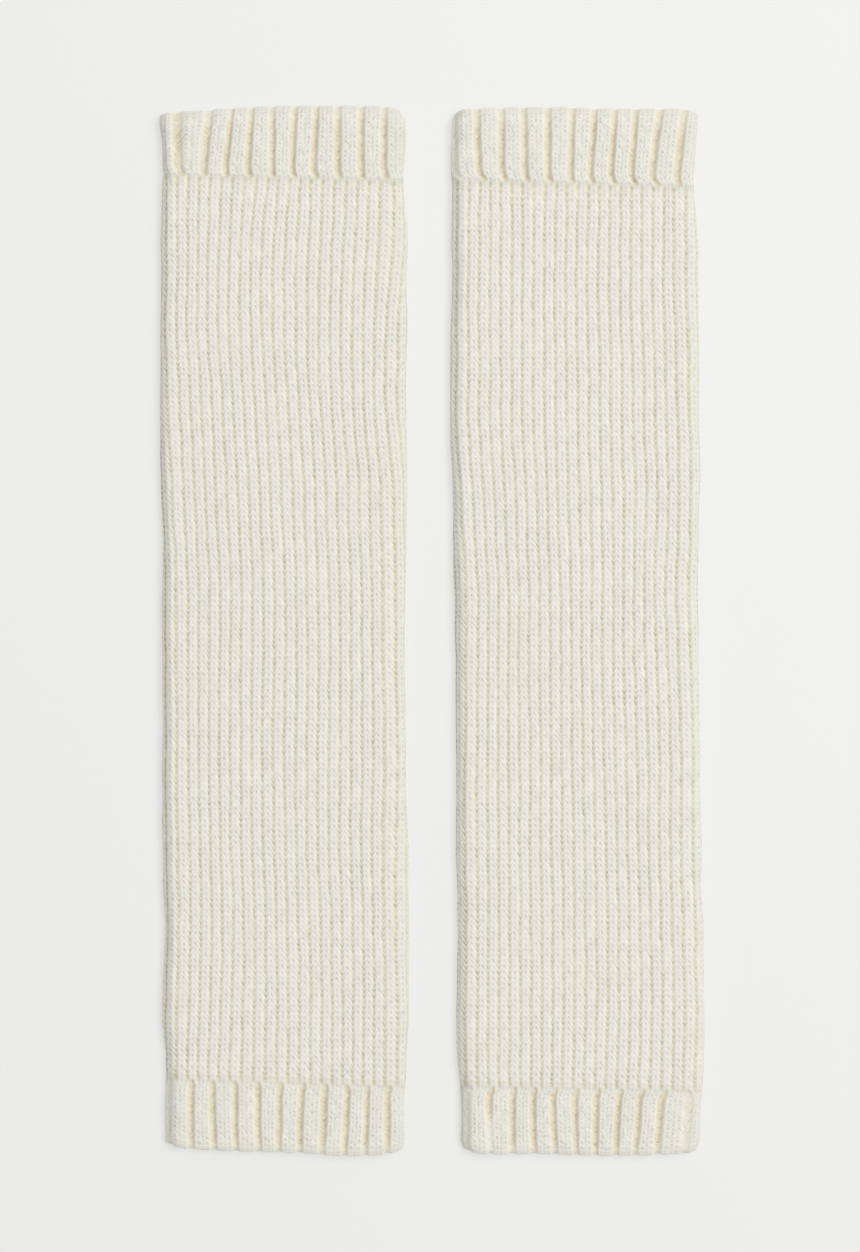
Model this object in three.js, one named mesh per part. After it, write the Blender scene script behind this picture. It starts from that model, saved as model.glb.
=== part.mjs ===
// A pair of rib-knit leg warmers, laid flat side by side.
//
// Frame, in millimetres: +Z up, the flat underside on z = 0, +Y towards the
// upper cuffs, +X to the right. The origin is at the middle of the pair's base.
//
// Each leg warmer is one knitted tube in three stretches: a 2x2 rib cuff, a long
// 1x1 cardigan-rib body and a second 2x2 rib cuff. Laid flat, the front of the
// tube lies on its back: two thicknesses of cloth joined by a round fold at each
// side, open from end to end, with a narrow slit left between the layers.

import * as THREE from 'three';

// ---- sizes (mm) ------------------------------------------------------------
const WALL = 3.1;        // thickness of the rib cloth
const SLIT = 0.7;        // space between front and back across the middle
const FOLD_SLIT = 1.4;   // the slit opens to this beside each side fold
const SLIT_REACH = 7;    // how far in from a fold the wider slit reaches
const SEAM = 0.3;        // gap between two stretches of one tube
const SIDE_STEPS = 6;    // facets round each side fold
const FLAT_STEPS = 5;    // facets across the front and across the back
const FOLD_SLOPE = 1.12; // how steeply the front falls to the left fold
const FOLD_END = 210;    // y of the open edges, where FOLD_REACH is given

// The left fold is pressed flatter than the right one: the front slopes down to
// it over this width, at the upper and at the lower end of each leg warmer.
const FOLD_REACH = {
  left: { upper: 2.6, lower: 3.8 },
  right: { upper: 3.2, lower: 3.8 },
};

// Outline of each leg warmer seen from above, a row for each cross-section.
//   yl, yr  place of the section along the tube, at its left and right edge
//   xl, xr  its left and right edge
//   t       its thickness, both layers
const LEFT_LEG = {
  top_cuff: [
    // yl      yr      xl       xr     t
    [209.2, 211.2, -109.5, -13.0, 6.3],
    [205.9, 208.2, -109.6, -11.4, 6.7],
    [199.0, 200.6, -109.1, -10.8, 6.9],
    [190.3, 190.9, -108.5, -11.1, 6.8],
    [182.7, 180.3, -108.1, -11.6, 6.5],
  ],
  body: [
    [182.7, 180.3, -108.2, -11.7, 6.5],
    [176.3, 173.8, -108.6, -11.1, 6.9],
    [163.3, 161.8, -108.9, -10.2, 7.0],
    [143.3, 143.3, -109.2, -10.1, 6.9],
    [122.3, 122.3, -109.3, -9.7, 7.0],
    [101.3, 101.3, -109.4, -10.5, 6.8],
    [84.3, 84.3, -109.4, -10.3, 6.9],
    [67.3, 67.3, -109.5, -9.9, 7.0],
    [48.3, 48.3, -108.6, -10.2, 6.9],
    [27.3, 27.3, -108.3, -10.3, 7.0],
    [5.3, 5.3, -108.8, -10.8, 6.8],
    [-16.7, -16.7, -108.4, -11.0, 6.9],
    [-39.7, -39.7, -108.3, -10.6, 7.0],
    [-61.7, -61.7, -108.6, -10.5, 6.9],
    [-82.7, -82.7, -108.2, -9.5, 6.8],
    [-101.7, -101.7, -108.1, -9.6, 7.0],
    [-121.7, -121.7, -107.5, -9.0, 6.9],
    [-141.7, -141.7, -108.4, -9.1, 7.0],
    [-159.7, -159.7, -108.0, -9.7, 6.9],
    [-172.4, -174.6, -107.0, -10.4, 6.8],
    [-179.7, -182.7, -106.7, -11.0, 6.5],
  ],
  bottom_cuff: [
    [-179.7, -182.7, -106.7, -11.1, 6.5],
    [-187.0, -189.8, -106.8, -11.0, 6.8],
    [-195.7, -198.8, -106.9, -10.9, 6.9],
    [-204.4, -206.8, -107.0, -11.1, 6.7],
    [-208.2, -211.2, -107.2, -12.2, 6.3],
  ],
};

const RIGHT_LEG = {
  top_cuff: [
    [210.3, 209.7, 9.3, 106.6, 6.3],
    [206.3, 206.0, 8.5, 106.8, 6.7],
    [199.3, 198.6, 8.1, 106.4, 6.9],
    [190.2, 187.9, 7.6, 106.1, 6.8],
    [180.7, 177.6, 7.9, 105.4, 6.5],
  ],
  body: [
    [180.7, 177.6, 8.0, 105.4, 6.5],
    [174.0, 171.0, 8.2, 105.9, 6.9],
    [161.3, 159.3, 8.1, 106.5, 7.0],
    [143.3, 143.3, 8.3, 107.5, 6.9],
    [122.3, 122.3, 7.7, 107.3, 7.0],
    [102.3, 102.3, 7.5, 107.5, 6.8],
    [82.3, 82.3, 7.5, 107.2, 6.9],
    [62.3, 62.3, 8.1, 108.1, 7.0],
    [42.3, 42.3, 8.7, 107.2, 6.9],
    [21.3, 21.3, 8.8, 107.0, 7.0],
    [0.3, 0.3, 9.5, 107.1, 6.8],
    [-20.7, -20.7, 9.5, 107.4, 6.9],
    [-41.7, -41.7, 9.8, 107.5, 7.0],
    [-61.7, -61.7, 9.8, 107.7, 6.9],
    [-81.7, -81.7, 9.6, 108.4, 6.8],
    [-100.7, -100.7, 10.0, 108.4, 7.0],
    [-119.7, -119.7, 10.5, 109.1, 6.9],
    [-139.7, -139.7, 9.9, 109.4, 7.0],
    [-157.7, -157.7, 9.9, 109.5, 6.9],
    [-172.7, -174.7, 10.3, 109.2, 6.8],
    [-182.6, -184.4, 11.2, 108.9, 6.5],
  ],
  bottom_cuff: [
    [-182.6, -184.4, 11.3, 108.8, 6.5],
    [-190.2, -191.6, 11.8, 108.2, 6.8],
    [-198.8, -199.8, 11.9, 107.9, 6.9],
    [-206.6, -206.8, 11.7, 107.6, 6.7],
    [-210.6, -210.8, 12.6, 106.4, 6.3],
  ],
};

const CREAM = new THREE.Color(0.90, 0.885, 0.835);

// ---- one cross-section -----------------------------------------------------
// How much thinner than a plain flattened tube the leg warmer is at a place x
function taper(x, row, reach) {
  const [yl, yr, xl, xr, t] = row;
  const { clamp, inverseLerp, lerp, smoothstep } = THREE.MathUtils;
  const r = t / 2;
  const left = Math.max(x - xl, 0);
  const arc = r + Math.sqrt(Math.max(r * r - Math.max(r - left, 0) ** 2, 0));
  const up = clamp(inverseLerp(-FOLD_END, FOLD_END, (yl + yr) / 2), 0, 1);
  const d = lerp(reach.lower, reach.upper, up) - left;
  const slope = t - FOLD_SLOPE * (d + Math.hypot(d, 0.9)) / 2;
  const right = 1 - 0.15 * (1 - smoothstep(xr - x, 0, 8.5));
  return Math.min(slope / arc, 1) * right;
}

// Points of a flattened ring: up round the right fold, over the front to the
// left, down round the left fold and back along the underside. `inset` is 0 on
// the outside of the cloth and WALL on its inside.
function ring(row, inset, reach) {
  const [yl, yr, xl, xr, t] = row;
  const inner = inset > 0;
  const left = xl + inset;
  const right = xr - inset;
  const mid = t / 2;
  const foldHeight = inner ? FOLD_SLIT / 2 : mid;
  const flatHeight = inner ? SLIT / 2 : mid;
  const round = inner ? FOLD_SLIT / 2 : mid;
  const points = [];
  const put = (x, z) => {
    const share = (x - xl) / (xr - xl);
    points.push(new THREE.Vector3(x, yl + (yr - yl) * share, z * taper(x, row, reach)));
  };
  // Half height of the ring at a place across the flat stretch
  const half = (x) => {
    const depth = Math.min(x - left, right - x) - round;
    const blend = THREE.MathUtils.smoothstep(depth, 0, SLIT_REACH);
    return THREE.MathUtils.lerp(foldHeight, flatHeight, blend);
  };
  const flat = (k) => {
    // closer together beside the folds
    const s = k / FLAT_STEPS;
    const eased = s - Math.sin(2 * Math.PI * s) / (2 * Math.PI) * 0.85;
    return THREE.MathUtils.lerp(left + round, right - round, eased);
  };
  for (let k = 0; k <= SIDE_STEPS; k += 1) {
    const a = -Math.PI / 2 + (Math.PI * k) / SIDE_STEPS;
    put(right - round + round * Math.cos(a), mid + foldHeight * Math.sin(a));
  }
  for (let k = FLAT_STEPS - 1; k > 0; k -= 1) put(flat(k), mid + half(flat(k)));
  for (let k = 0; k <= SIDE_STEPS; k += 1) {
    const a = Math.PI / 2 + (Math.PI * k) / SIDE_STEPS;
    put(left + round + round * Math.cos(a), mid + foldHeight * Math.sin(a));
  }
  for (let k = 1; k < FLAT_STEPS; k += 1) put(flat(k), mid - half(flat(k)));
  return points;
}

// ---- one stretch of tube ---------------------------------------------------
// Rows run from the upper end to the lower end. `trim` shortens each end that
// meets another stretch by half the seam gap.
function tube(rows, trim, reach) {
  const cut = rows.map((row) => [...row]);
  if (trim.upper) for (const c of [0, 1]) cut[0][c] -= SEAM / 2;
  if (trim.lower) for (const c of [0, 1]) cut[cut.length - 1][c] += SEAM / 2;

  const outer = cut.map((row) => ring(row, 0, reach));
  const inner = cut.map((row) => ring(row, WALL, reach));
  const n = outer[0].length;
  const positions = [];
  for (const set of [outer, inner]) {
    for (const loop of set) for (const p of loop) positions.push(p.x, p.y, p.z);
  }
  const at = (layer, r, k) => (layer * cut.length + r) * n + (k % n);
  const index = [];
  const quad = (a, b, c, d) => index.push(a, b, c, a, c, d);
  for (let r = 0; r + 1 < cut.length; r += 1) {
    for (let k = 0; k < n; k += 1) {
      quad(at(0, r, k), at(0, r, k + 1), at(0, r + 1, k + 1), at(0, r + 1, k));
      quad(at(1, r, k + 1), at(1, r, k), at(1, r + 1, k), at(1, r + 1, k + 1));
    }
  }
  const last = cut.length - 1;
  for (let k = 0; k < n; k += 1) {
    quad(at(0, 0, k + 1), at(0, 0, k), at(1, 0, k), at(1, 0, k + 1));
    quad(at(0, last, k), at(0, last, k + 1), at(1, last, k + 1), at(1, last, k));
  }
  const geometry = new THREE.BufferGeometry();
  geometry.setAttribute('position', new THREE.Float32BufferAttribute(positions, 3));
  geometry.setIndex(index);
  geometry.computeVertexNormals();
  return geometry;
}

function stretch(name, rows, trim, reach) {
  const material = new THREE.MeshStandardMaterial({
    color: CREAM, roughness: 0.95, metalness: 0,
  });
  const mesh = new THREE.Mesh(tube(rows, trim, reach), material);
  mesh.name = name;
  return mesh;
}

function legWarmer(side, rows) {
  const group = new THREE.Group();
  group.name = `${side}_leg_warmer`;
  const reach = FOLD_REACH[side];
  group.add(
    stretch(`${side}_top_cuff`, rows.top_cuff, { upper: false, lower: true }, reach),
    stretch(`${side}_body`, rows.body, { upper: true, lower: true }, reach),
    stretch(`${side}_bottom_cuff`, rows.bottom_cuff, { upper: true, lower: false }, reach),
  );
  return group;
}

const pair = new THREE.Group();
pair.name = 'leg_warmers';
pair.add(legWarmer('left', LEFT_LEG), legWarmer('right', RIGHT_LEG));

export default pair;
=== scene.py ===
"""A pair of cream rib-knit leg warmers, laid flat side by side and seen from straight above.

Each leg warmer is one knitted tube: a 2x2 rib cuff, a long 1x1 cardigan-rib body and a second 2x2 rib cuff.
Every stitch is modelled as relief on the tube's own form. Sizes here are millimetres until put() writes metres.
"""

import math

import bpy
import numpy as np
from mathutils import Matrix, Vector


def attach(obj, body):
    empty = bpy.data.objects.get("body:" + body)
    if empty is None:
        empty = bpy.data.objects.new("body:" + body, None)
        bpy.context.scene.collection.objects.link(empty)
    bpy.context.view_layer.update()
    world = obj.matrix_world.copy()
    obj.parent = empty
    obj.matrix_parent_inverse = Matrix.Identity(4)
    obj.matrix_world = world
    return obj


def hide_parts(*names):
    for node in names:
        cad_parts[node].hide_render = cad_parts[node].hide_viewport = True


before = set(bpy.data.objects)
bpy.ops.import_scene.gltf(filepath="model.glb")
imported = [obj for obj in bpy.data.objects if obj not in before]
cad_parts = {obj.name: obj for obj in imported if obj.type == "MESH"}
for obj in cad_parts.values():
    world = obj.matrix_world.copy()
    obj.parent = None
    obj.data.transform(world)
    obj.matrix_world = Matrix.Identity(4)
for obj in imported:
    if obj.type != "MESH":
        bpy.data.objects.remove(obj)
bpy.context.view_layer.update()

# ---------------------------------------------------------------- sizes (mm)
RIBS = 44  # body ribs round one tube
COURSES = 160  # stitch rows that show along a body
CUFF_COURSES = 15.5  # stitch rows along a cuff
WALL = 3.1  # thickness of the cloth
CREST = 0.32  # a rib's crest stands this far proud of the mean surface
CUFF_DEEP = 1.7  # from a cuff rib's crest down to its channel
CHANNEL = 1.12  # half width of a cuff channel
PERIOD = 9.05  # one cuff rib and its channel
LIP = 1.25  # how far the open edge rounds back
TUCK = 0.35  # a cuff's first row tucks this many courses under the body
# The front slopes down to the left fold over this width, at y 210 and at y -210.
FOLD_REACH = {"left": (2.6, 3.8), "right": (3.2, 3.8)}
FOLD_SLOPE = 1.12  # how steeply
FRONT_RIBS = {"left": (-2, 22), "right": (-2, 23)}  # ribs of the front and its folds

# The outline: a row for each cross-section, from the upper end to the lower.
#   yl, yr  place of the section at its left and right edge
#   xl, xr  its left and right edge;  t  thickness of both layers
SECTIONS = {
    "left": {
        "top_cuff": [
            (209.2, 211.2, -109.5, -13.0, 6.3),
            (205.9, 208.2, -109.6, -11.4, 6.7),
            (199.0, 200.6, -109.1, -10.8, 6.9),
            (190.3, 190.9, -108.5, -11.1, 6.8),
            (182.7, 180.3, -108.1, -11.6, 6.5),
        ],
        "body": [
            (182.7, 180.3, -108.2, -11.7, 6.5),
            (176.3, 173.8, -108.6, -11.1, 6.9),
            (163.3, 161.8, -108.9, -10.2, 7.0),
            (143.3, 143.3, -109.2, -10.1, 6.9),
            (122.3, 122.3, -109.3, -9.7, 7.0),
            (101.3, 101.3, -109.4, -10.5, 6.8),
            (84.3, 84.3, -109.4, -10.3, 6.9),
            (67.3, 67.3, -109.5, -9.9, 7.0),
            (48.3, 48.3, -108.6, -10.2, 6.9),
            (27.3, 27.3, -108.3, -10.3, 7.0),
            (5.3, 5.3, -108.8, -10.8, 6.8),
            (-16.7, -16.7, -108.4, -11.0, 6.9),
            (-39.7, -39.7, -108.3, -10.6, 7.0),
            (-61.7, -61.7, -108.6, -10.5, 6.9),
            (-82.7, -82.7, -108.2, -9.5, 6.8),
            (-101.7, -101.7, -108.1, -9.6, 7.0),
            (-121.7, -121.7, -107.5, -9.0, 6.9),
            (-141.7, -141.7, -108.4, -9.1, 7.0),
            (-159.7, -159.7, -108.0, -9.7, 6.9),
            (-172.4, -174.6, -107.0, -10.4, 6.8),
            (-179.7, -182.7, -106.7, -11.0, 6.5),
        ],
        "bottom_cuff": [
            (-179.7, -182.7, -106.7, -11.1, 6.5),
            (-187.0, -189.8, -106.8, -11.0, 6.8),
            (-195.7, -198.8, -106.9, -10.9, 6.9),
            (-204.4, -206.8, -107.0, -11.1, 6.7),
            (-208.2, -211.2, -107.2, -12.2, 6.3),
        ],
    },
    "right": {
        "top_cuff": [
            (210.3, 209.7, 9.3, 106.6, 6.3),
            (206.3, 206.0, 8.5, 106.8, 6.7),
            (199.3, 198.6, 8.1, 106.4, 6.9),
            (190.2, 187.9, 7.6, 106.1, 6.8),
            (180.7, 177.6, 7.9, 105.4, 6.5),
        ],
        "body": [
            (180.7, 177.6, 8.0, 105.4, 6.5),
            (174.0, 171.0, 8.2, 105.9, 6.9),
            (161.3, 159.3, 8.1, 106.5, 7.0),
            (143.3, 143.3, 8.3, 107.5, 6.9),
            (122.3, 122.3, 7.7, 107.3, 7.0),
            (102.3, 102.3, 7.5, 107.5, 6.8),
            (82.3, 82.3, 7.5, 107.2, 6.9),
            (62.3, 62.3, 8.1, 108.1, 7.0),
            (42.3, 42.3, 8.7, 107.2, 6.9),
            (21.3, 21.3, 8.8, 107.0, 7.0),
            (0.3, 0.3, 9.5, 107.1, 6.8),
            (-20.7, -20.7, 9.5, 107.4, 6.9),
            (-41.7, -41.7, 9.8, 107.5, 7.0),
            (-61.7, -61.7, 9.8, 107.7, 6.9),
            (-81.7, -81.7, 9.6, 108.4, 6.8),
            (-100.7, -100.7, 10.0, 108.4, 7.0),
            (-119.7, -119.7, 10.5, 109.1, 6.9),
            (-139.7, -139.7, 9.9, 109.4, 7.0),
            (-157.7, -157.7, 9.9, 109.5, 6.9),
            (-172.7, -174.7, 10.3, 109.2, 6.8),
            (-182.6, -184.4, 11.2, 108.9, 6.5),
        ],
        "bottom_cuff": [
            (-182.6, -184.4, 11.3, 108.8, 6.5),
            (-190.2, -191.6, 11.8, 108.2, 6.8),
            (-198.8, -199.8, 11.9, 107.9, 6.9),
            (-206.6, -206.8, 11.7, 107.6, 6.7),
            (-210.6, -210.8, 12.6, 106.4, 6.3),
        ],
    },
}

# Where seven of the body's channels run: y, then x of channels 1, 5, 9, 13, 17, 19 and 20.
CHANNELS = (1, 5, 9, 13, 17, 19, 20)
WANDER = {
    "left": [
        (181, -102.6, -84.8, -65.9, -48.6, -30.1, -21.1, -15.4),
        (162, -102.3, -85.5, -67.8, -49.3, -30.6, -21.4, -15.5),
        (143, -102.3, -86.1, -68.8, -50.2, -31.7, -22.4, -16.6),
        (124, -102.7, -86.2, -68.6, -50.3, -32.1, -23.4, -18.5),
        (105, -102.0, -85.1, -67.8, -50.1, -32.3, -23.4, -18.8),
        (90, -101.4, -84.2, -66.9, -48.9, -31.8, -23.3, -18.9),
        (76, -100.8, -83.5, -66.1, -48.1, -30.7, -22.3, -17.6),
        (61, -100.0, -82.7, -65.1, -47.2, -29.6, -20.8, -15.7),
        (42, -99.2, -82.0, -64.5, -46.8, -29.2, -20.7, -15.4),
        (25, -98.3, -81.0, -63.7, -46.3, -28.5, -20.2, -14.9),
        (-6, -98.1, -81.2, -63.5, -45.6, -28.3, -19.8, -14.7),
        (-45, -98.0, -81.2, -64.0, -46.0, -28.1, -19.3, -13.8),
        (-84, -97.6, -81.0, -63.6, -46.0, -28.6, -19.8, -14.5),
        (-122, -97.1, -79.9, -62.7, -44.8, -27.5, -19.6, -14.6),
        (-148, -97.7, -80.6, -62.2, -44.3, -27.5, -19.1, -14.0),
        (-178, -98.3, -81.6, -62.7, -44.6, -27.9, -19.4, -14.2),
    ],
    "right": [
        (179, 14.7, 31.7, 49.9, 67.2, 83.9, 93.0, 96.9),
        (158, 14.8, 32.0, 49.5, 66.8, 84.1, 92.9, 96.8),
        (134, 14.4, 31.8, 49.1, 66.4, 84.1, 92.6, 97.1),
        (110, 14.6, 32.0, 49.3, 67.1, 84.8, 93.5, 97.9),
        (85, 14.4, 31.9, 49.4, 67.4, 85.0, 94.0, 98.3),
        (71, 15.1, 32.5, 49.8, 67.5, 85.4, 94.4, 98.8),
        (56, 16.4, 33.6, 50.3, 68.0, 86.1, 94.9, 99.0),
        (37, 17.2, 33.9, 50.7, 68.2, 85.6, 94.2, 98.6),
        (18, 18.4, 34.8, 51.4, 68.4, 85.1, 93.5, 97.9),
        (-6, 18.4, 34.5, 51.6, 68.2, 85.3, 94.5, 98.6),
        (-45, 18.0, 35.0, 51.9, 68.8, 86.6, 95.6, 99.9),
        (-84, 17.8, 35.1, 52.1, 69.8, 86.8, 95.7, 99.9),
        (-122, 18.3, 35.4, 52.6, 70.4, 87.9, 96.3, 100.8),
        (-156, 18.0, 35.4, 52.7, 70.5, 88.1, 97.0, 101.3),
        (-180, 18.1, 35.4, 52.1, 69.5, 87.3, 96.4, 100.6),
    ],
}

# The channels of each cuff's front, left to right.
#   x0, x1  place at the body and at the open edge;  wide  width factor
#   d0, d1  depth factor at the body and at the open edge
CUFF_CHANNELS = {
    "left_top": {
        "first": 1.5,
        "rows": [
            (-102.2, -103.0, 1.55, 1.0, 1.0),
            (-92.2, -88.9, 1.25, 1.0, 0.75),
            (-83.2, -80.6, 0.95, 1.0, 1.0),
            (-74.5, -72.3, 1.0, 1.0, 1.0),
            (-64.0, -64.3, 1.0, 1.0, 0.9),
            (-56.5, -55.0, 0.95, 1.0, 1.0),
            (-48.1, -46.2, 0.95, 1.0, 1.0),
            (-37.8, -37.9, 1.0, 1.0, 0.9),
            (-28.5, -28.3, 1.0, 1.0, 1.0),
            (-19.5, -19.2, 0.95, 1.0, 0.9),
        ],
    },
    "left_bottom": {
        "first": -0.5,
        "rows": [
            (-105.6, -105.8, 1.1, 0.06, 0.06),
            (-96.7, -96.9, 1.0, 1.0, 1.0),
            (-88.5, -87.5, 1.05, 1.0, 1.0),
            (-79.3, -79.0, 0.95, 1.0, 1.0),
            (-70.2, -69.3, 1.0, 1.0, 0.9),
            (-61.1, -61.8, 1.0, 1.0, 1.0),
            (-52.6, -53.2, 1.0, 1.0, 1.0),
            (-43.1, -44.1, 1.05, 1.0, 0.95),
            (-33.5, -35.3, 1.0, 1.0, 1.0),
            (-26.2, -27.0, 0.95, 1.0, 1.0),
            (-18.1, -18.1, 0.9, 1.0, 0.9),
        ],
    },
    "right_top": {
        "first": 0.5,
        "rows": [
            (9.2, 9.2, 1.1, 0.06, 0.06),
            (18.7, 17.8, 1.0, 1.0, 1.0),
            (28.1, 27.8, 1.0, 1.0, 0.9),
            (37.6, 36.9, 1.0, 1.0, 1.0),
            (46.6, 46.5, 0.95, 1.0, 1.0),
            (55.5, 56.5, 1.0, 1.0, 0.9),
            (63.3, 65.4, 1.0, 1.0, 1.0),
            (71.6, 73.6, 0.95, 1.0, 1.0),
            (79.8, 81.6, 1.0, 1.0, 1.0),
            (87.4, 91.6, 1.0, 1.0, 0.95),
            (97.7, 101.5, 1.05, 1.0, 0.85),
        ],
    },
    "right_bottom": {
        "first": 0.5,
        "rows": [
            (14.2, 14.3, 1.1, 0.12, 0.12),
            (22.5, 23.5, 1.05, 1.0, 0.05),
            (32.3, 32.0, 1.0, 1.0, 1.0),
            (40.4, 41.2, 1.05, 1.0, 1.0),
            (48.3, 49.5, 1.05, 1.0, 0.9),
            (57.1, 57.9, 1.0, 1.0, 1.0),
            (65.9, 65.7, 1.0, 1.0, 1.0),
            (75.4, 73.6, 1.05, 1.0, 1.0),
            (83.5, 81.5, 1.0, 1.0, 0.95),
            (92.2, 90.1, 0.95, 1.0, 1.0),
            (103.5, 101.6, 1.5, 0.5, 0.35),
        ],
    },
}


# The open edges aren't straight: how far each reaches past the outline's last row, by share across.
EDGE_SHARES = (0, 0.03, 0.08, 0.15, 0.3, 0.45, 0.6, 0.75, 0.9, 0.96, 1)
EDGES = {
    "left_top": (-1.5, -0.8, -0.4, -0.3, 0.5, 0.9, 0.8, 0.5, 0.1, -0.3, -1.5),
    "left_bottom": (-1.8, -1.0, 0.0, 0.2, 0.4, 0.3, 0.3, 1.0, 0.1, -0.8, -2.0),
    "right_top": (-1.5, -0.6, -0.2, 0.1, 0.6, 0.7, 0.0, 0.1, 0.2, 0.1, -1.2),
    "right_bottom": (-1.8, -0.8, 0.0, 0.2, -0.2, 0.2, 0.5, 0.3, -0.2, -0.2, -1.5),
}

# The body's relief across half a rib, from its middle (0) to its channel (1).
#   level   height over the tube's mean surface
#   relief  added through one course, at PHASES
#   shade   how shaded the spot is between its strands, at PHASES
PHASES = (0.0, 0.34, 0.60, 1.0)
BODY_RELIEF = [
    # across, level, relief, shade
    (0.0, 0.21, (0.15, -0.48, -0.32), (0.00, 1.35, 0.92)),
    (0.30, 0.26, (0.10, -0.04, -0.12), (0.00, 0.22, 0.34)),
    (0.62, 0.15, (0.13, -0.06, -0.18), (0.04, 0.36, 0.54)),
    (0.85, -0.23, (0.30, -0.25, -0.16), (0.00, 1.14, 0.84)),
    (1.0, -0.37, (0.58, -0.42, -0.10), (0.00, 1.62, 0.96)),
]


# ---------------------------------------------------------------- small helpers
def smooth(x, a, b):
    s = np.clip((x - a) / (b - a), 0.0, 1.0)
    return s * s * (3 - 2 * s)


def lerp(a, b, s):
    return a + (b - a) * s


def hashed(i, j, seed):
    """A repeatable number from 0 to 1 for each pair of whole numbers."""
    i = np.asarray(i).astype(np.int64)
    j = np.asarray(j).astype(np.int64)
    h = (i * 73856093) ^ (j * 19349663) ^ (seed * 83492791)
    h = (h ^ (h >> 13)) * 1274126177
    h = h ^ (h >> 16)
    return (h & 0xFFFFFF) / float(0xFFFFFF)


def noise(x, y, seed):
    """Soft value noise, from -1 to 1."""
    x0, y0 = np.floor(x), np.floor(y)
    fx, fy = x - x0, y - y0
    fx = fx * fx * (3 - 2 * fx)
    fy = fy * fy * (3 - 2 * fy)
    a = hashed(x0, y0, seed)
    b = hashed(x0 + 1, y0, seed)
    c = hashed(x0, y0 + 1, seed)
    d = hashed(x0 + 1, y0 + 1, seed)
    return 2 * lerp(lerp(a, b, fx), lerp(c, d, fx), fy) - 1


def curve(xs, ys, x):
    """A soft curve through the rows of a table (cubic Hermite, slopes from the neighbours)."""
    xs, ys = np.asarray(xs, float), np.asarray(ys, float)
    if xs[0] > xs[-1]:
        xs, ys = xs[::-1], ys[::-1]
    m = np.gradient(ys, xs)
    x = np.clip(x, xs[0], xs[-1])
    k = np.clip(np.searchsorted(xs, x, side="right") - 1, 0, len(xs) - 2)
    h = xs[k + 1] - xs[k]
    s = (x - xs[k]) / h
    return (
        (2 * s**3 - 3 * s**2 + 1) * ys[k]
        + (s**3 - 2 * s**2 + s) * h * m[k]
        + (-2 * s**3 + 3 * s**2) * ys[k + 1]
        + (s**3 - s**2) * h * m[k + 1]
    )


# ---------------------------------------------------------------- the tube's form
class Stretch:
    """One stretch of a tube. down runs from 0 at its upper end to 1 at its lower."""

    def __init__(self, side, name):
        self.side, self.name = side, name
        rows = np.array(SECTIONS[side][name])
        middle = rows[:, :2].mean(1)
        self.down = (middle[0] - middle) / (middle[0] - middle[-1])
        self.rows = rows
        self.length = middle[0] - middle[-1]

    def at(self, down):
        return [curve(self.down, self.rows[:, k], down) for k in range(5)]


def along(x, xl, xr, t):
    """Distance round the outside of the tube, from its left edge over the front, of a place x on the front."""
    r = t / 2
    turn = math.pi * r / 2
    left = r * np.arccos(np.clip(1 - (x - xl) / r, -1, 1))
    right = r * np.arccos(np.clip(1 - (xr - x) / r, -1, 1))
    front = xr - xl - t + 2 * turn
    return np.where(
        x < xl + r, left, np.where(x > xr - r, front - right, turn + (x - xl - r))
    )


def taper(side, x, y, xl, xr, t):
    """The tube thins towards its side folds. The left one, pressed flatter, slopes down from the front."""
    r = t / 2
    left = np.clip(x - xl, 0, None)
    arc = r + np.sqrt(np.maximum(r**2 - np.maximum(r - left, 0) ** 2, 0))
    d = np.interp(y, (-210, 210), FOLD_REACH[side][::-1]) - left
    slope = t - FOLD_SLOPE * (d + np.hypot(d, 0.9)) / 2
    right = 1 - 0.15 * (1 - smooth(xr - x, 0, 8.5))
    return np.minimum(slope / arc, 1.0) * right


def fold_shade(shade, x, y, xl, xr, strength):
    """Adds painted shade on the side folds: a left one's steep side lies in shade, and a right one turns away."""
    reach = np.interp(y, (-210, 210), (3.4, 2.6))
    left = strength * (1 - smooth(x - xl, 0.6, reach))
    right = 0.27 * (1 - smooth(xr - x, 1.0, 5.0)) + 0.15 * (1 - smooth(xr - x, 5.0, 15.0))
    return np.maximum(shade, left) + right * (1 - 0.5 * np.clip(shade, 0, 1))


def round_tube(side, p, y, xl, xr, t):
    """x, z and the outward normal at a distance p round the tube."""
    r = t / 2
    turn = math.pi * r / 2
    flat = xr - xl - t
    whole = 2 * flat + 4 * turn
    p = np.mod(p + turn, whole) - turn  # from the foot of the left fold
    on_left = p < turn
    on_top = (p >= turn) & (p < turn + flat)
    on_right = (p >= turn + flat) & (p < 3 * turn + flat)
    a = np.where(on_left, p / r, (p - turn - flat) / r)
    x = np.where(
        on_left,
        xl + r - r * np.cos(a),
        np.where(
            on_top,
            xl + r + p - turn,
            np.where(
                on_right, xr - r + r * np.sin(a), xr - r - (p - 3 * turn - flat)
            ),
        ),
    )
    z = np.where(
        on_left,
        r + r * np.sin(a),
        np.where(on_top, t, np.where(on_right, r + r * np.cos(a), 0.0)),
    )
    z = z * taper(side, x, y, xl, xr, t)
    nx = np.where(on_left, -np.cos(a), np.where(on_right, np.sin(a), 0.0))
    nz = np.where(
        on_left,
        np.sin(a),
        np.where(on_top, 1.0, np.where(on_right, np.cos(a), -1.0)),
    )
    return x, z, nx, nz


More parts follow.
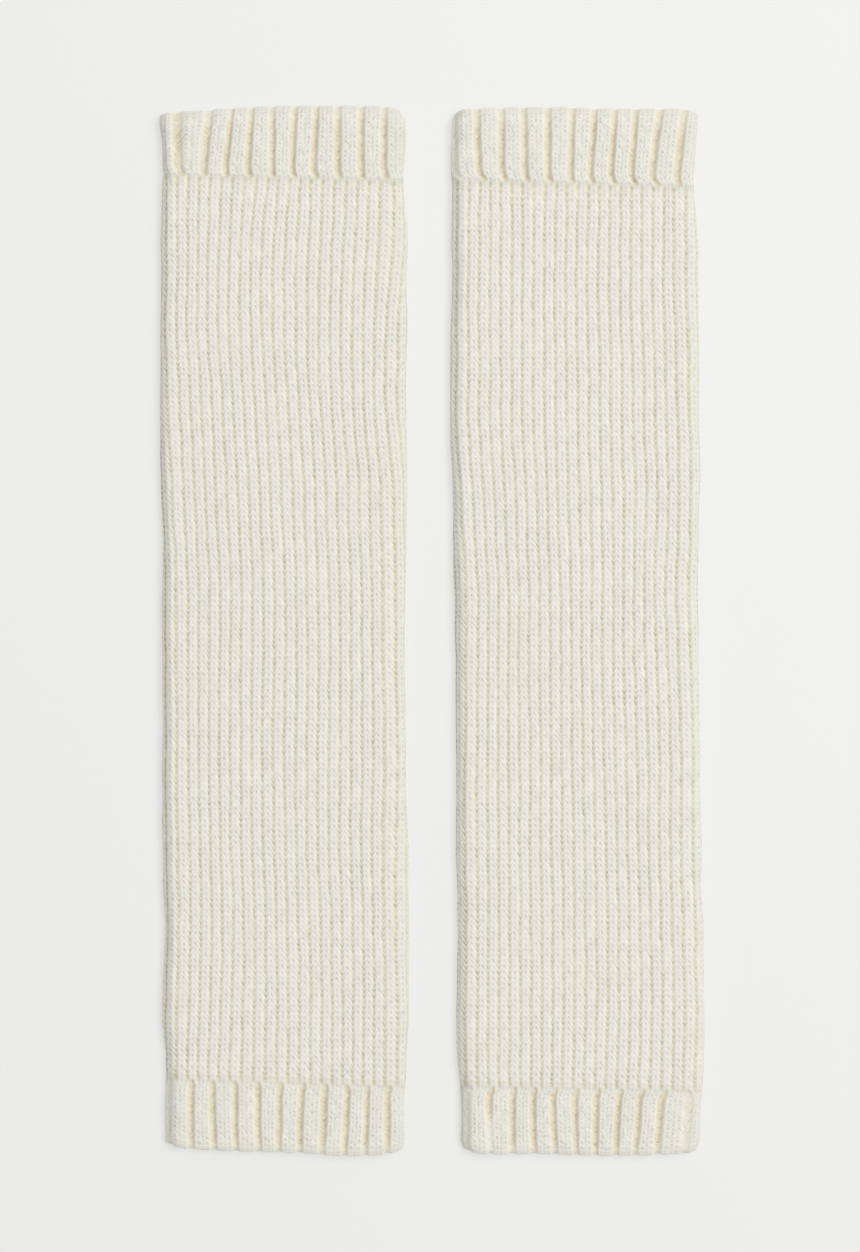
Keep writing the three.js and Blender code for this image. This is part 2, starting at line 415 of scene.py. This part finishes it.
def ring_from_controls(w, controls, xl, xr, t):
    """Distance round the tube of rib number w. controls lists (rib number, x on the front)."""
    whole = 2 * (xr - xl - t) + math.pi * t
    knots = [(k, along(x, xl, xr, t)) for k, x in controls]
    first_w, first_p = knots[0]
    turns = np.floor((w - first_w) / RIBS)
    u = w - turns * RIBS
    knots.append((first_w + RIBS, first_p + whole))
    p = np.zeros(np.broadcast(w, xl).shape)
    for (wa, pa), (wb, pb) in zip(knots, knots[1:]):
        inside = (u >= wa) & (u <= wb)
        p = np.where(inside, lerp(pa, pb, (u - wa) / (wb - wa)), p)
    return p + turns * whole


def body_ring(side, w, y, xl, xr, t):
    table = np.array(WANDER[side])
    controls = [
        (c, curve(table[:, 0], table[:, 1 + k], y)) for k, c in enumerate(CHANNELS)
    ]
    return ring_from_controls(w, controls, xl, xr, t)


def cuff_ring(key, w, out, xl, xr, t):
    """out runs from 0 at the body to 1 at the open edge."""
    table = CUFF_CHANNELS[key]
    controls = [
        (table["first"] + 2 * k, lerp(row[0], row[1], out))
        for k, row in enumerate(table["rows"])
    ]
    return ring_from_controls(w, controls, xl, xr, t)


# ---------------------------------------------------------------- stitches
def body_slope(a):
    """How many courses lower a stitch's leg lies at a, from 0 at a rib's middle to 1 in the channel."""
    return 1.5 * a**1.45


def through(q, values):
    return np.interp(q, PHASES, (*values, values[0]))


def body_stitch(w, r, uneven):
    """Relief of the 1x1 cardigan rib, and how shaded each point is between its strands.

    uneven is 1, and falls to 0 where the stitches calm down towards a cuff.
    """
    u = w - np.floor(w) - 0.5
    a = np.abs(2 * u)
    q = r - np.floor(r)
    course, rib = np.floor(r), np.floor(w)
    half = rib * 2 + (u > 0)
    draw = 1 + 0.8 * uneven * (hashed(half, course, 3) - 0.5)
    fat = (0.35 + 0.65 * uneven) * draw
    lift = 0.13 * uneven * (hashed(half, course, 5) - 0.5)
    rib_lift = 0.14 * uneven * noise(rib * 0.9, course / 9.0, 11)
    h, shade = np.zeros(a.shape), np.zeros(a.shape)
    knots = [row[0] for row in BODY_RELIEF]
    for k, (_, level, relief, dark) in enumerate(BODY_RELIEF):
        weight = np.interp(a, knots, np.eye(len(knots))[k])
        h += weight * (level + fat * through(q, relief))
        # where the stitches calm down, the painted shade is their mean and a little darker
        shade += weight * lerp(sum(dark) / 3 + 0.3, through(q, dark), uneven)
    on_rib = 1 - smooth(a, 0.72, 1.0)
    return h + (lift + rib_lift) * on_rib, shade * (0.5 + 0.5 * draw)


def cuff_columns():
    """Places across one cuff period, as shares of it, closer together where the relief turns."""
    half = np.array([0, 0.50, 0.88, 1.22, 1.62, 2.20, 2.80, 3.38, 3.96, PERIOD / 2])
    return np.concatenate([half, PERIOD - half[-2:0:-1]]) / PERIOD


def cuff_slope(u):
    """As body_slope, for a place u across a cuff period from 0 to 1."""
    m = np.minimum(u, 1 - u) * PERIOD
    wale = (PERIOD / 2 - CHANNEL) / 2
    b = np.abs(m - CHANNEL - wale) / wale
    return np.where(
        m < CHANNEL, 1.5 + 0.8 * (1 - m / CHANNEL), 1.5 * np.minimum(b, 1) ** 1.25
    )


def cuff_stitch(u, r, number, wide, deep):
    """Relief of the 2x2 rib, and how shaded each point is. number counts the periods round the tube."""
    m = np.minimum(u, 1 - u) * PERIOD
    second = u > 0.5
    wale = (PERIOD / 2 - CHANNEL) / 2
    b = np.minimum(np.abs(m - CHANNEL - wale) / wale, 1)
    inner = m > CHANNEL + wale
    q = r - np.floor(r)
    course = np.floor(r)
    strand_number = number * 8 + second * 4 + inner
    fat = 1 + 1.2 * (hashed(strand_number, course, 7) - 0.5)
    lift = 0.18 * (hashed(strand_number, course, 9) - 0.5)
    edge = CHANNEL * wide
    shoulder = smooth(m, edge * 0.35, edge * 1.2 + 0.35)
    dome = 0.26 * ((PERIOD / 2 - m) / (PERIOD / 2 - edge)) ** 2.6
    between = 0.5 - 0.5 * np.cos(2 * math.pi * q)  # 1 halfway between two loops
    valley = np.exp(-((b / 0.26) ** 2)) + inner * np.exp(-(((1 - b) / 0.26) ** 2))
    strand = -0.09 * np.cos(2 * math.pi * b)
    leg = -0.12 * between * fat
    pit = -0.30 * valley * between * fat
    crest = CREST + 0.04 - dome + strand + leg + pit + lift
    floor = CREST - CUFF_DEEP * deep - 0.42 * between * fat
    floor = lerp(crest - 0.12 - 0.22 * between * fat, floor, np.clip(deep * 1.6, 0, 1))
    shade_crest = 0.14 + (0.20 + 1.1 * np.clip(valley, 0, 1)) * between * (0.5 + 0.5 * fat)
    shade_floor = np.clip(deep * 1.3, 0, 1) * (0.72 + 0.60 * between * fat) + 0.4 * between * (1 - np.clip(deep * 1.6, 0, 1))
    return lerp(floor, crest, shoulder), lerp(shade_floor, shade_crest, shoulder)


# ---------------------------------------------------------------- meshes
def unrolled(u, wrap):
    """Corner coordinates that don't jump back where a ring closes on itself."""
    if wrap is None:
        return u
    low = (u.max(1, keepdims=True) - u.min(1, keepdims=True)) > wrap / 2
    middle = (u.max(1, keepdims=True) + u.min(1, keepdims=True)) / 2
    return np.where(low & (u < middle), u + wrap, u)


def put(name, verts, faces, maps, material, crisp):
    """An object from numpy arrays of points in mm and of triangles and quads."""
    mesh = bpy.data.meshes.new(name)
    verts = np.asarray(verts, np.float32) / 1000.0
    mesh.vertices.add(len(verts))
    mesh.vertices.foreach_set("co", verts.ravel())
    corners = np.concatenate([f.ravel() for f in faces]).astype(np.int32)
    sizes = np.concatenate([np.full(len(f), f.shape[1]) for f in faces]).astype(
        np.int32
    )
    starts = np.concatenate([[0], np.cumsum(sizes)[:-1]]).astype(np.int32)
    mesh.loops.add(len(corners))
    mesh.loops.foreach_set("vertex_index", corners)
    mesh.polygons.add(len(sizes))
    mesh.polygons.foreach_set("loop_start", starts)
    mesh.update(calc_edges=True)
    layer = mesh.uv_layers.new(name="stitch")
    across = np.concatenate([unrolled(maps["u"][f], maps.get("wrap")).ravel() for f in faces])
    uv = np.stack([across, maps["v"][corners]], 1).astype(np.float32)
    layer.data.foreach_set("uv", uv.ravel())
    for key in ("shade", "tone", "near", "tan"):
        attribute = mesh.attributes.new(key, "FLOAT", "POINT")
        attribute.data.foreach_set("value", maps[key].astype(np.float32).ravel())
    mesh.polygons.foreach_set("use_smooth", np.ones(len(sizes), bool))
    # the cut ends are crisp, so their shading doesn't bleed round the edge
    ends = np.empty(len(mesh.edges) * 2, np.int32)
    mesh.edges.foreach_get("vertices", ends)
    rim = np.zeros(len(verts), bool)
    rim[np.concatenate(crisp)] = True
    crease = mesh.attributes.new("sharp_edge", "BOOLEAN", "EDGE")
    crease.data.foreach_set("value", rim[ends].reshape(-1, 2).all(1))
    mesh.validate(clean_customdata=False)
    mesh.materials.append(material)
    ob = bpy.data.objects.new(name, mesh)
    bpy.context.scene.collection.objects.link(ob)
    return ob


def grid_faces(rows, columns, start=0, closed=False, flip=False):
    r = np.arange(rows - 1)[:, None]
    c = np.arange(columns if closed else columns - 1)[None, :]
    c2 = (c + 1) % columns
    a = start + r * columns + c
    b = start + r * columns + c2
    d = start + (r + 1) * columns + c
    e = start + (r + 1) * columns + c2
    quads = np.stack([a, d, e, b] if not flip else [a, b, e, d], -1)
    return quads.reshape(-1, 4)


def zip_strip(fine, coarse, flip=False):
    """Triangles between two rows of points with different counts."""
    n, m = len(fine) - 1, len(coarse) - 1
    at = np.round(np.arange(m + 1) * n / m).astype(int)
    out = []
    for j in range(m):
        middle = (at[j] + at[j + 1]) // 2
        for k in range(at[j], middle):
            out.append((coarse[j], fine[k], fine[k + 1]))
        out.append((coarse[j], fine[middle], coarse[j + 1]))
        for k in range(middle, at[j + 1]):
            out.append((coarse[j + 1], fine[k], fine[k + 1]))
    out = np.array(out)
    return out[:, ::-1] if flip else out


def settle(x, z, nx, nz, h, y, t, seed):
    """Moves points out along the tube's normal by h, with the cloth's slight waviness. The underside lies on z = 0."""
    up = np.clip(z / t, 0, 1)
    wave = 0.22 * noise(x / 17.0, y / 26.0, seed) + 0.12 * noise(
        x / 7.0, y / 11.0, seed + 1
    )
    edge = 0.35 * noise(np.sign(nx) * 3.1, y / 13.0, seed + 2) * np.abs(nx)
    # round a fold the stitches open and their relief flattens
    out = h * (1 - 0.5 * np.abs(nx)) + edge
    return x + nx * out, np.maximum(z + nz * out + wave * up, 0.0)


def body_piece(side, half, material):
    """The front or back of a body: its stitched outside, a plain inside, and the edges between."""
    stretch = Stretch(side, "body")
    start, stop = FRONT_RIBS[side]
    across = np.array([0, 0.075, 0.19, 0.35, 0.5, 0.65, 0.81, 0.925])
    if half == "back":
        start, stop = stop, start + RIBS
        across = np.array([0, 0.2, 0.5, 0.8])
    w = np.append((np.arange(start, stop)[:, None] + across).ravel(), stop)
    phases = np.array([0, 0.34, 0.60])
    r = np.concatenate([(np.arange(COURSES)[:, None] + phases).ravel(), [COURSES]])
    W, R = np.meshgrid(w, r)
    u = W - np.floor(W) - 0.5
    a = np.abs(2 * u)
    ramp = smooth(R, 0, 2.4) * smooth(COURSES - R, 0, 2.4)
    row = R + (body_slope(a) - 0.75) * ramp
    row = row + 0.22 * noise(W / 5.0, R / 14.0, 21) * ramp
    row = row + 0.15 * noise(W * 1.9, R * 0.9, 23) * ramp  # no two stitches are drawn alike
    down = row / COURSES

    def place(W, down, h):
        yl, yr, xl, xr, t = stretch.at(down)
        y = (yl + yr) / 2
        p = body_ring(side, W, y, xl, xr, t)
        p = p + 0.24 * noise(W * 0.8, y / 11.0, 31) + 0.10 * noise(W * 1.1, y / 4.5, 32)
        x, z, nx, nz = round_tube(side, p, (yl + yr) / 2, xl, xr, t)
        share = np.clip((x - xl) / (xr - xl), 0, 1)
        y = lerp(yl, yr, share)
        h = np.maximum(h, 0.14 - t / 2 * taper(side, x, (yl + yr) / 2, xl, xr, t))
        x, z = settle(x, z, nx, nz, h, y, t, 40 if side == "left" else 50)
        return np.stack([x, y, z], -1)

    calm = 0.5 * hashed(np.floor(W * 2), 0 * W, 25)
    h, shade = body_stitch(W, R, smooth(R - calm, -0.2, 1.1) * smooth(COURSES - R - calm, -0.2, 1.1))
    # the rows of the change of rib are worked tighter, with small gaps here and there; painted shade darkens these
    # rows, most at the gaps
    tight = 1 - smooth(np.minimum(R, COURSES - R), 0.4, 2.2)
    gap = hashed(np.floor(W * 2), np.floor(R * 1.5), 27) > 0.55
    shade = shade + tight * (0.12 + 0.8 * gap * smooth(a, 0.45, 0.9))
    outer = place(W, down, h)
    xl, xr = stretch.at(down)[2:4]
    shade = fold_shade(shade, outer[..., 0], outer[..., 1], xl, xr, 0.15)
    rows, columns = outer.shape[:2]
    in_rows, in_columns = 61, 13
    wi = np.linspace(w[0], w[-1], in_columns)
    ri = np.linspace(0, COURSES, in_rows)
    WI, RI = np.meshgrid(wi, ri)
    di = np.clip(RI / COURSES, 0.0008, 0.9992)
    inner = place(WI, di, -np.full(WI.shape, WALL - 0.15))
    verts = np.concatenate([outer.reshape(-1, 3), inner.reshape(-1, 3)])
    base = rows * columns
    o = np.arange(base).reshape(rows, columns)
    i = base + np.arange(in_rows * in_columns).reshape(in_rows, in_columns)
    faces = [
        grid_faces(rows, columns),
        grid_faces(in_rows, in_columns, start=base, flip=True),
        np.concatenate(
            [
                zip_strip(o[0], i[0], flip=True),
                zip_strip(o[-1], i[-1]),
                zip_strip(o[:, 0], i[:, 0]),
                zip_strip(o[:, -1], i[:, -1], flip=True),
            ]
        ),
    ]
    n = inner.shape[0] * inner.shape[1]
    course = np.floor(R)
    tone = hashed(np.floor(W) * 2 + (u > 0), course, 61) - 0.5
    # the hidden inside is painted fully shaded
    maps = {
        "u": np.concatenate([(W * 4.35).ravel(), WI.ravel() * 4.35]),
        "v": np.concatenate([R.ravel(), RI.ravel()]),
        "shade": np.concatenate([shade.ravel(), np.ones(n)]),
        "tone": np.concatenate([tone.ravel(), np.zeros(n)]),
        "near": np.concatenate([smooth(a, 0.30, 0.95).ravel(), np.zeros(n)]),
        "tan": np.zeros(len(verts)),
    }
    crisp = [o[0], o[-1], o[:, 0], o[:, -1], i[0], i[-1], i[:, 0], i[:, -1]]
    return put(f"{side}_body_{half}", verts, faces, maps, material, crisp)


def cuff_piece(side, end, material):
    """A cuff: stitched outside, rounded open edge and ribbed inside, as one closed tube."""
    stretch = Stretch(side, f"{end}_cuff")
    key = f"{side}_{end}"
    first = CUFF_CHANNELS[key]["first"]
    table = np.array(CUFF_CHANNELS[key]["rows"])
    shares = cuff_columns()
    periods = RIBS // 2
    # the ring starts and ends on the underside
    number = np.repeat(np.arange(periods) - 6, len(shares))
    share = np.tile(shares, periods)
    w = first + 2 * (number + share)
    is_channel = 1 - smooth(
        np.minimum(share, 1 - share) * PERIOD, CHANNEL * 0.5, CHANNEL * 1.8
    )
    # r counts courses from the body (0) to the open edge
    r = np.concatenate([[-TUCK], np.arange(0, CUFF_COURSES - 0.001, 0.25)])
    W, R = np.meshgrid(w, r)
    U = np.broadcast_to(share, W.shape)
    N = np.broadcast_to(number, W.shape)
    M = np.minimum(U, 1 - U) * PERIOD
    whole = CUFF_COURSES
    sign = 1.0 if end == "bottom" else -1.0
    # stitches point up on the outside, so a leg runs down from its top: towards the
    # open edge on a lower cuff, towards the body on an upper one
    ramp = smooth(R, 0, 3.0) * smooth(whole - R, 0, 3.6)
    row = R + (cuff_slope(U) - 0.9) * sign * ramp
    row = row + 0.18 * noise(W / 3.1, R / 5.0, 71) * ramp
    row = row + 0.24 * noise(W * 1.3, R * 0.9, 73) * ramp
    length = stretch.length
    lip_share = LIP / length
    body = Stretch(side, "body")
    y_join = body.rows[0 if end == "top" else -1, :2].mean()

    def by_period(values):
        """A channel's own value at the period that starts or ends at each point."""
        padded = np.ones(periods)
        padded[: len(values)] = values
        return padded[np.mod(N + (U > 0.5), periods)]

    def place(W, out, h):
        down = out if end == "bottom" else 1 - out
        yl, yr, xl, xr, t = stretch.at(down)
        tuck = np.minimum(out, 0) * length * sign
        p_body = body_ring(side, W, np.full(W.shape, y_join), xl, xr, t)
        p_cuff = cuff_ring(key, W, out, xl, xr, t)
        p = lerp(p_body, p_cuff, smooth(out, 0.0, 0.16))
        y = (yl + yr) / 2
        p = p + 0.24 * noise(W * 0.8, y / 11.0, 31) + 0.10 * noise(W * 1.1, y / 4.5, 32)
        x, z, nx, nz = round_tube(side, p, (yl + yr) / 2, xl, xr, t)
        s = np.clip((x - xl) / (xr - xl), 0, 1)
        reach = np.interp(s, EDGE_SHARES, EDGES[key]) - 0.55 * is_channel
        y = lerp(yl, yr, s) - tuck - sign * reach * smooth(out, 0.55, 1.0)
        h = np.maximum(h, 0.14 - t / 2 * taper(side, x, (yl + yr) / 2, xl, xr, t))
        x, z = settle(x, z, nx, nz, h, y, t, 40 if side == "left" else 50)
        return np.stack([x, y, z], -1)

    out = row / whole * (1 - lip_share)
    wide = by_period(table[:, 2])
    deep = lerp(by_period(table[:, 3]), by_period(table[:, 4]), smooth(out, 0.2, 0.75))
    deep = deep * (1 - 0.35 * smooth(out, 0.62, 1.0)) * lerp(0.45, 1, smooth(R, 0.1, 2.2))
    h_cuff, shade_cuff = cuff_stitch(U, R, N, wide, deep)
    h_body, shade_body = body_stitch(W, np.maximum(R, 0), 0.0)
    # the stitches change over within a course; a channel's end is rounded
    late = np.where(M < CHANNEL, (M / CHANNEL) ** 2, 1 - smooth(M, CHANNEL, 1.7 * CHANNEL))
    change = smooth(R - (0.9 if end == "bottom" else 0.1) * late, 0.0, 0.6)
    h = lerp(h_body, h_cuff, change)
    h = h - 0.6 * (R < 0) + 0.08 * np.exp(-(((R - 1.0) / 0.6) ** 2))
    # painted shade: the cuff's first rows, next to the body, are darker
    shade = lerp(shade_body, shade_cuff, change) + 0.3 * (1 - smooth(R, 0.3, 1.8))
    # ribs soften towards the open edge
    last = smooth(whole - R, 0.0, 1.9)
    h = lerp(lerp(h, -0.40, 0.40), h, last)
    # painted shade: the last rows at the open edge are darker, and a channel's painted shade lightens towards the edge
    shade = shade * (1 - 0.4 * is_channel * (1 - smooth(whole - R, 0, 3.6))) + 0.42 * (1 - last)
    outer = place(W, out, h)
    xl, xr = stretch.at(out if end == "bottom" else 1 - out)[2:4]
    shade = fold_shade(shade, outer[..., 0], outer[..., 1], xl, xr, 0.9 if end == "bottom" else 0.66)

    # the edge rounds over to the inside, which is ribbed the other way
    h_out = h[-1]
    h_in = lerp(-2.25, -3.3, is_channel)
    lip = []
    for angle in (25, 50, 75, 105, 130, 155, 180):
        c, s = math.cos(math.radians(angle)), math.sin(math.radians(angle))
        mid, half = (h_out + h_in) / 2, (h_out - h_in) / 2
        level = mid + half * c
        reach = out[-1] + (1 - out[-1]) * s * (
            0.93 + 0.07 * noise(w[None, :] / 1.7, 0 * w[None, :] + 3, 91)[0]
        )
        lip.append(place(w[None, :], reach[None, :], level[None, :])[0])
    inside = []
    for share_in in (0.93, 0.85, 0.7, 0.5, 0.25, 0.006):
        level = h_in[None, :] + 0 * w[None, :]
        level = lerp(
            np.full(level.shape, -(WALL - 0.15)), level, smooth(share_in, 0, 0.3)
        )
        inside.append(place(w[None, :], np.full((1, len(w)), share_in), level)[0])
    layers = np.concatenate([outer, np.array(lip), np.array(inside)])
    rows, columns = layers.shape[:2]
    verts = layers.reshape(-1, 3)
    flip = end == "top"
    faces = [grid_faces(rows, columns, closed=True, flip=flip)]
    ring_a = np.arange(columns)
    ring_b = (rows - 1) * columns + np.arange(columns)
    nxt = (np.arange(columns) + 1) % columns
    quads = np.stack([ring_b, ring_a, ring_a[nxt], ring_b[nxt]], -1)
    faces.append(quads[:, ::-1] if flip else quads)
    extra = len(lip) + len(inside)
    course = np.floor(R)
    tone = hashed(N * 8 + (U > 0.5) * 4, course, 67) - 0.5
    v_more = R[-1, 0] + 0.25 + np.arange(extra)[:, None] * 0.4 + 0 * w[None, :]
    # painted shade: the first lip rows fade from the edge's shade, and the rest of the lip and the inside are painted
    # more shaded the deeper they lie
    shade_more = np.concatenate([shade[-1] * f + (1 - f) * 0.1 for f in (0.8, 0.5, 0.2)] + [np.full(len(w), f) for f in np.linspace(0.1, 1.0, extra - 3)])
    near = (1 - smooth(M, CHANNEL * 0.9, CHANNEL * 2.2)) * np.clip(deep * 1.5, 0.35, 1)
    # the tan mask marks cuff channels whose painted shade is tinted tan, standing for light bounced between their
    # walls
    maps = {
        "u": np.concatenate([W.ravel() * 4.5, np.tile(w * 4.5, extra)]),
        "v": np.concatenate([R.ravel() * sign, v_more.ravel() * sign]),
        "shade": np.concatenate([shade.ravel(), shade_more]),
        "tone": np.concatenate([tone.ravel(), np.zeros(extra * columns)]),
        "near": np.concatenate([near.ravel(), np.tile(is_channel, extra)]),
        "tan": np.concatenate([(is_channel * change * np.clip(deep * 1.5, 0, 1)).ravel(), np.tile(is_channel, extra)]),
        "wrap": RIBS * 4.5,
    }
    # crisp where the tucked row starts and ends
    crisp = [ring_a, ring_a + columns, ring_b]
    return put(f"{side}_{end}_cuff_knit", verts, faces, maps, material, crisp)


# ---------------------------------------------------------------- materials
class Nodes:
    """Short calls for a material's node tree."""

    def __init__(self, name):
        self.material = bpy.data.materials.new(name)
        self.material.use_nodes = True
        self.tree = self.material.node_tree
        self.tree.nodes.clear()

    def add(self, kind, **inputs):
        node = self.tree.nodes.new(kind)
        for key, value in inputs.items():
            if key.startswith("set_"):
                setattr(node, key[4:], value)
                continue
            socket = node.inputs[int(key[1:])] if key[0] == "i" and key[1:].isdigit() else node.inputs[key.replace("_", " ")]
            if isinstance(value, bpy.types.NodeSocket):
                self.tree.links.new(value, socket)
            else:
                socket.default_value = value
        return node

    def maths(self, op, a, b=0.0, clamp=False):
        return self.add("ShaderNodeMath", set_operation=op, set_use_clamp=clamp, i0=a, i1=b).outputs[0]

    def mix(self, factor, a, b):
        node = self.add("ShaderNodeMix", set_data_type="RGBA", i0=factor)
        for socket, value in ((node.inputs[6], a), (node.inputs[7], b)):
            if isinstance(value, bpy.types.NodeSocket):
                self.tree.links.new(value, socket)
            else:
                socket.default_value = (*value, 1.0)
        return node.outputs[2]


def srgb(r, g, b):
    return tuple(
        ((c / 255 + 0.055) / 1.055) ** 2.4 if c > 10.3 else c / 255 / 12.92
        for c in (r, g, b)
    )


def knit_material():
    n = Nodes("cream_knit")
    uv = n.add("ShaderNodeUVMap", set_uv_map="stitch").outputs[0]
    place = n.add("ShaderNodeTexCoord").outputs["Object"]
    parts = n.add("ShaderNodeSeparateXYZ", i0=uv)
    shade = n.add("ShaderNodeAttribute", set_attribute_name="shade").outputs["Fac"]
    tone = n.add("ShaderNodeAttribute", set_attribute_name="tone").outputs["Fac"]
    near = n.add("ShaderNodeAttribute", set_attribute_name="near").outputs["Fac"]
    tan = n.add("ShaderNodeAttribute", set_attribute_name="tan").outputs["Fac"]

    # fibres: fine and finer noise
    fine = n.add("ShaderNodeTexNoise", Vector=place, Scale=2600.0, Detail=3.0, Roughness=0.65).outputs["Fac"]
    loft = n.add("ShaderNodeTexNoise", Vector=place, Scale=900.0, Detail=2.0, Roughness=0.6).outputs["Fac"]
    patch = n.add("ShaderNodeTexNoise", Vector=place, Scale=45.0, Detail=2.0, Roughness=0.5).outputs["Fac"]
    # the yarn's two plies cross each leg of a stitch at a slant
    turn = n.maths("ADD", n.maths("MULTIPLY", parts.outputs[0], 6.4), n.maths("MULTIPLY", parts.outputs[1], 6.2832))
    ply = n.maths("SINE", turn)

    # painted shade between strands: grey on a rib, olive in a body's channel with tan patches, and tan in a cuff's
    # channel, where the tan stands for light bounced between its walls; near a channel the yarn is tinted warmer
    drift = n.add("ShaderNodeTexNoise", Vector=place, Scale=110.0, Detail=1.0, Roughness=0.5).outputs["Fac"]
    drift = n.maths("MULTIPLY", n.maths("SUBTRACT", drift, 0.5, clamp=True), 2.4, clamp=True)
    hollow = n.mix(n.maths("MAXIMUM", tan, drift), srgb(213, 211, 177), srgb(221, 202, 173))
    hollow = n.mix(near, srgb(209, 208, 197), hollow)
    yarn = n.mix(near, srgb(245, 243, 234), srgb(243, 241, 226))
    between = n.maths("MULTIPLY", shade, 0.56, clamp=True)
    base = n.mix(between, yarn, hollow)
    warm = n.mix(n.maths("MULTIPLY", n.maths("SUBTRACT", patch, 0.5, clamp=True), 0.9, clamp=True), base, srgb(239, 233, 217))
    varied = n.add("ShaderNodeHueSaturation", Color=warm)
    value = n.maths("ADD", 0.985, n.maths("MULTIPLY", tone, 0.05))
    value = n.maths("ADD", value, n.maths("MULTIPLY", n.maths("SUBTRACT", loft, 0.5), 0.12))
    n.tree.links.new(value, varied.inputs["Value"])

    height = n.maths("ADD", n.maths("MULTIPLY", fine, 0.9), n.maths("MULTIPLY", loft, 0.8))
    height = n.maths("ADD", height, n.maths("MULTIPLY", ply, 0.14))
    bump = n.add("ShaderNodeBump", Strength=0.55, Distance=0.00022, Height=height).outputs[0]
    rough = n.maths("ADD", 0.86, n.maths("MULTIPLY", loft, 0.16))
    shader = n.add(
        "ShaderNodeBsdfPrincipled",
        Base_Color=varied.outputs[0],
        Roughness=rough,
        Normal=bump,
    )
    shader.inputs["Specular IOR Level"].default_value = 0.25
    shader.inputs["Sheen Weight"].default_value = 0.22
    shader.inputs["Sheen Roughness"].default_value = 0.55
    shader.inputs["Sheen Tint"].default_value = (1.0, 0.985, 0.95, 1.0)
    out = n.add("ShaderNodeOutputMaterial")
    n.tree.links.new(shader.outputs[0], out.inputs[0])
    return n.material


def floor_material():
    n = Nodes("pale_surface")
    place = n.add("ShaderNodeTexCoord").outputs["Object"]
    grain = n.add("ShaderNodeTexNoise", Vector=place, Scale=9.0, Detail=3.0).outputs["Fac"]
    colour = n.mix(n.maths("MULTIPLY", grain, 0.5), srgb(149, 149, 147), srgb(151, 151, 149))
    shader = n.add("ShaderNodeBsdfPrincipled", Base_Color=colour)
    # painted light: the floor glows a little, as a light table would, so shadows on it stay pale
    shader.inputs["Emission Color"].default_value = (1.0, 1.0, 0.982, 1.0)
    # the glow is painted stronger towards +x and +y, the side the key light comes from
    axes = n.add("ShaderNodeSeparateXYZ", i0=place)
    glow = n.maths("MULTIPLY", axes.outputs[0], 0.077)
    glow = n.maths("ADD", glow, n.maths("MULTIPLY", axes.outputs[1], 0.052))
    glow = n.maths("MINIMUM", n.maths("MAXIMUM", n.maths("ADD", glow, 0.554), 0.52), 0.59)
    n.tree.links.new(glow, shader.inputs["Emission Strength"])
    shader.inputs["Roughness"].default_value = 0.85
    shader.inputs["Specular IOR Level"].default_value = 0.2
    out = n.add("ShaderNodeOutputMaterial")
    n.tree.links.new(shader.outputs[0], out.inputs[0])
    return n.material


# ---------------------------------------------------------------- build
scene = bpy.context.scene
knit = knit_material()


def declare(piece, node):
    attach(piece, "root")
    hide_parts(node)


for side in ("left", "right"):
    for half in ("back", "front"):
        piece = body_piece(side, half, knit)
        declare(piece, f"{side}_body")
    for end in ("top", "bottom"):
        piece = cuff_piece(side, end, knit)
        declare(piece, f"{side}_{end}_cuff")

# ---------------------------------------------------------------- floor, light, camera
bpy.ops.mesh.primitive_plane_add(size=8.0, location=(0, 0, -0.0002))
floor = bpy.context.object
floor.name = "pale_floor"
floor.data.materials.append(floor_material())

world = bpy.data.worlds.new("studio")
scene.world = world
world.use_nodes = True
world.node_tree.nodes["Background"].inputs[0].default_value = (1.0, 1.0, 1.0, 1.0)
world.node_tree.nodes["Background"].inputs[1].default_value = 0.50


def area_light(name, place, aim, size, power, colour=(1, 1, 1)):
    data = bpy.data.lights.new(name, "AREA")
    data.shape = "RECTANGLE"
    data.size, data.size_y = size
    data.energy = power
    data.color = colour
    ob = bpy.data.objects.new(name, data)
    scene.collection.objects.link(ob)
    ob.location = place
    way = Vector(aim) - Vector(place)
    ob.rotation_euler = way.to_track_quat("-Z", "Y").to_euler()
    return ob


area_light("key", (2.125, 0.85, 4.05), (0.0, 0.0, 0.0), (3.0, 3.0), 133.5, (1.0, 1.0, 1.0))

PX = 0.4023  # mm of the object for each pixel of the photograph's frame
camera_data = bpy.data.cameras.new("camera")
camera = bpy.data.objects.new("camera", camera_data)
scene.collection.objects.link(camera)
camera_data.sensor_fit = "VERTICAL"
camera_data.sensor_height = 36.0
camera_data.lens = 130.0
camera_data.clip_end = 20.0
height = 1252 * PX / 1000 * camera_data.lens / camera_data.sensor_height
camera.location = (-0.0008, 0.0019, 0.0035 + height)
camera.rotation_euler = (0, 0, 0)
scene.camera = camera

scene.view_settings.view_transform = "Standard"
scene.view_settings.look = "None"
scene.view_settings.exposure = 0.0
